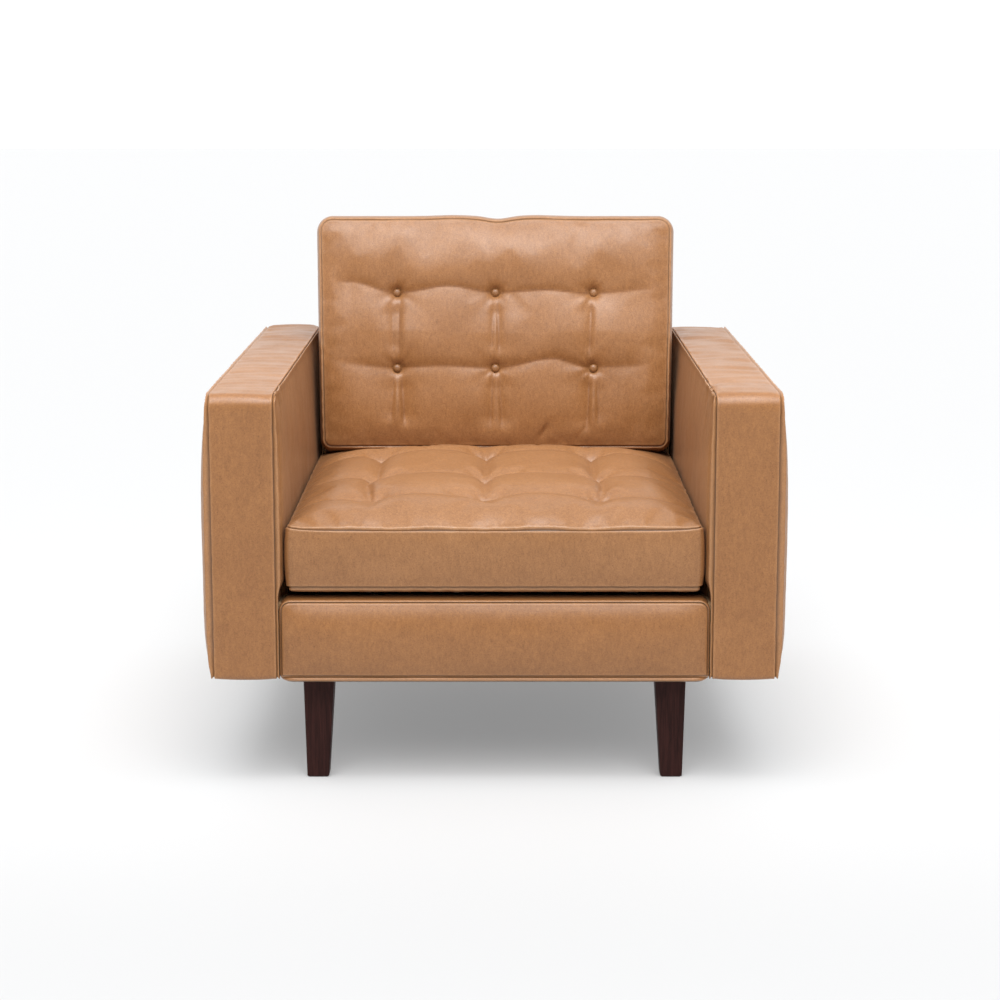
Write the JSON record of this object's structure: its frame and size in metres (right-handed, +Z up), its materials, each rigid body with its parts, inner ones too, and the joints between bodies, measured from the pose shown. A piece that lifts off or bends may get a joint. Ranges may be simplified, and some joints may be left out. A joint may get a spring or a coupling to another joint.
{
  "type": "upholstered armchair",
  "caption": "Upholstered leather lounge chair with slim box arms, tapered wooden legs, and loose button-tufted seat and back cushions.",
  "frame": {"origin": "on the floor, under the middle of the chair's bounding box", "axes": "+Z up; the chair faces -Y; +X is the left of a person sitting in it"},
  "size_m": [0.914, 0.98, 0.8558],
  "materials": {
    "leather": "satin",
    "button_leather": "satin",
    "leg_wood": "satin",
    "frame_timber": "matte",
    "steel": "satin",
    "foam": "matte",
    "deck_cloth": "matte",
    "dust_cloth": "matte",
    "webbing": "matte",
    "zip": "matte"
  },
  "bodies": {
    "chair": {"back_cover": "leather", "back_left_post": "frame_timber", "back_padding": "foam", "back_rail": "frame_timber", "back_right_post": "frame_timber", "back_top_rail": "frame_timber", "back_webbing": "webbing", "deck_cloth": "deck_cloth", "dust_cover": "dust_cloth", "front_left_corner_block": "frame_timber", "front_left_leg": "leg_wood", "front_left_leg_bolt": "steel", "front_rail": "frame_timber", "front_rail_cover": "leather", "front_right_corner_block": "frame_timber", "front_right_leg": "leg_wood", "front_right_leg_bolt": "steel", "left_arm_cover": "leather", "left_arm_front_post": "frame_timber", "left_arm_padding": "foam", "left_arm_rear_post": "frame_timber", "left_arm_top_rail": "frame_timber", "left_side_rail": "frame_timber", "rear_left_corner_block": "frame_timber", "rear_left_leg": "leg_wood", "rear_left_leg_bolt": "steel", "rear_right_corner_block": "frame_timber", "rear_right_leg": "leg_wood", "rear_right_leg_bolt": "steel", "right_arm_cover": "leather", "right_arm_front_post": "frame_timber", "right_arm_padding": "foam", "right_arm_rear_post": "frame_timber", "right_arm_top_rail": "frame_timber", "right_side_rail": "frame_timber", "seat_spring_1": "steel", "seat_spring_2": "steel", "seat_spring_3": "steel", "seat_spring_4": "steel"},
    "seat_cushion": {"seat_button_front_centre": "button_leather", "seat_button_front_left": "button_leather", "seat_button_front_right": "button_leather", "seat_button_middle_centre": "button_leather", "seat_button_middle_left": "button_leather", "seat_button_middle_right": "button_leather", "seat_button_rear_centre": "button_leather", "seat_button_rear_left": "button_leather", "seat_button_rear_right": "button_leather", "seat_cushion_core": "foam", "seat_cushion_cover": "leather", "seat_cushion_zip": "zip"},
    "back_cushion": {"back_button_lower_centre": "button_leather", "back_button_lower_left": "button_leather", "back_button_lower_right": "button_leather", "back_button_upper_centre": "button_leather", "back_button_upper_left": "button_leather", "back_button_upper_right": "button_leather", "back_cushion_core": "foam", "back_cushion_cover": "leather", "back_cushion_zip": "zip"}
  },
  "joints": [
    {"name": "seat_cushion_pull", "type": "slide", "parent": "chair", "child": "seat_cushion", "axis": [0, -1, 0], "range_m": [0, 0.8]},
    {"name": "back_cushion_lift", "type": "slide", "parent": "chair", "child": "back_cushion", "axis": [0, 0, 1], "range_m": [0, 0.45]}
  ]
}
